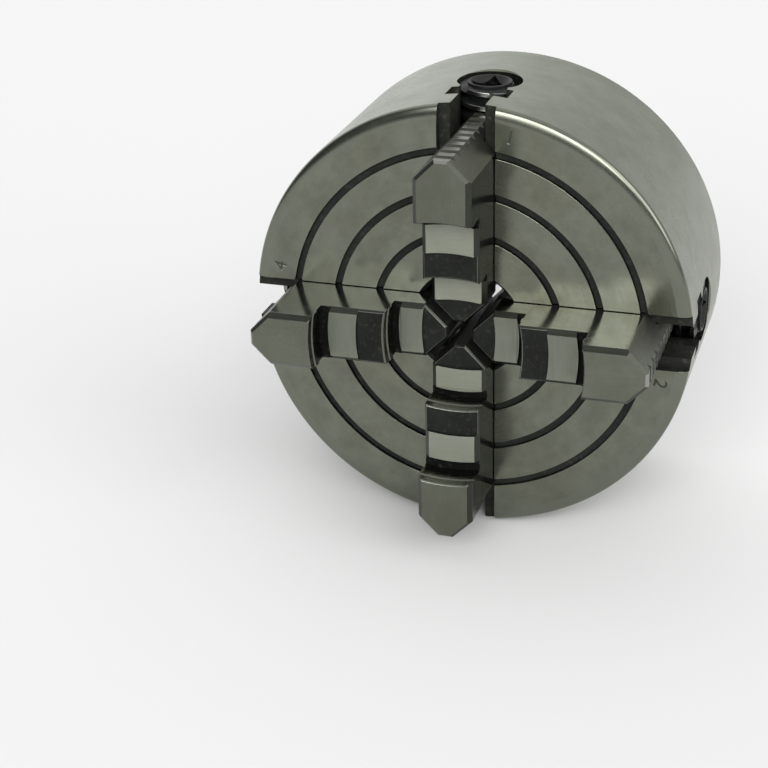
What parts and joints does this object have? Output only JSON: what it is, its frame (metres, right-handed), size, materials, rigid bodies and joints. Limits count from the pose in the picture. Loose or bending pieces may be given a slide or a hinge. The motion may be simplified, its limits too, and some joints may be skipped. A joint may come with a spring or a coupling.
{
  "type": "lathe chuck",
  "caption": "Round independent lathe chuck: stepped reversible jaws in radial T-slots, each driven by its own square-socket screw.",
  "frame": {"origin": "on the spindle axis, in the plane of the back mounting face", "axes": "+Y along the spindle axis out of the back face, so the jaws face -Y; +Z towards jaw 1; +X towards jaw 2"},
  "size_m": [0.125, 0.0804, 0.125],
  "materials": {
    "ground_body": "ground",
    "hardened_jaw": "satin",
    "black_oxide": "black oxide",
    "plain_steel": "turned"
  },
  "bodies": {
    "chuck_body": {"body": "ground_body", "thrust_yoke_1": "plain_steel", "thrust_yoke_2": "plain_steel", "thrust_yoke_3": "plain_steel", "thrust_yoke_4": "plain_steel", "yoke_plug_1": "black_oxide", "yoke_plug_2": "black_oxide", "yoke_plug_3": "black_oxide", "yoke_plug_4": "black_oxide"},
    "jaw_1_body": {"jaw_1": "hardened_jaw"},
    "jaw_2_body": {"jaw_2": "hardened_jaw"},
    "jaw_3_body": {"jaw_3": "hardened_jaw"},
    "jaw_4_body": {"jaw_4": "hardened_jaw"},
    "screw_1_body": {"screw_1": "black_oxide"},
    "screw_2_body": {"screw_2": "black_oxide"},
    "screw_3_body": {"screw_3": "black_oxide"},
    "screw_4_body": {"screw_4": "black_oxide"}
  },
  "joints": [
    {"name": "jaw_1_slide", "type": "slide", "parent": "chuck_body", "child": "jaw_1_body", "axis": [0, 0, 1], "range_m": [-0.0015, 0.028]},
    {"name": "jaw_2_slide", "type": "slide", "parent": "chuck_body", "child": "jaw_2_body", "axis": [1, 0, 0], "range_m": [-0.0015, 0.028]},
    {"name": "jaw_3_slide", "type": "slide", "parent": "chuck_body", "child": "jaw_3_body", "axis": [0, 0, -1], "range_m": [-0.0015, 0.028]},
    {"name": "jaw_4_slide", "type": "slide", "parent": "chuck_body", "child": "jaw_4_body", "axis": [-1, 0, 0], "range_m": [-0.0015, 0.028]},
    {"name": "screw_1_turn", "type": "hinge", "parent": "chuck_body", "child": "screw_1_body", "pos_m": [0, -0.03, 0.04], "axis": [0, 0, 1], "range_deg": [-137, 2522]},
    {"name": "screw_2_turn", "type": "hinge", "parent": "chuck_body", "child": "screw_2_body", "pos_m": [0.04, -0.03, 0], "axis": [1, 0, 0], "range_deg": [-137, 2522]},
    {"name": "screw_3_turn", "type": "hinge", "parent": "chuck_body", "child": "screw_3_body", "pos_m": [0, -0.03, -0.04], "axis": [0, 0, -1], "range_deg": [-137, 2522]},
    {"name": "screw_4_turn", "type": "hinge", "parent": "chuck_body", "child": "screw_4_body", "pos_m": [-0.04, -0.03, 0], "axis": [-1, 0, 0], "range_deg": [-137, 2522]}
  ],
  "couplings": [
    {"joint": "screw_1_turn", "follows": "jaw_1_slide", "rad_per_m": 1570.8},
    {"joint": "screw_2_turn", "follows": "jaw_2_slide", "rad_per_m": 1570.8},
    {"joint": "screw_3_turn", "follows": "jaw_3_slide", "rad_per_m": 1570.8},
    {"joint": "screw_4_turn", "follows": "jaw_4_slide", "rad_per_m": 1570.8}
  ]
}
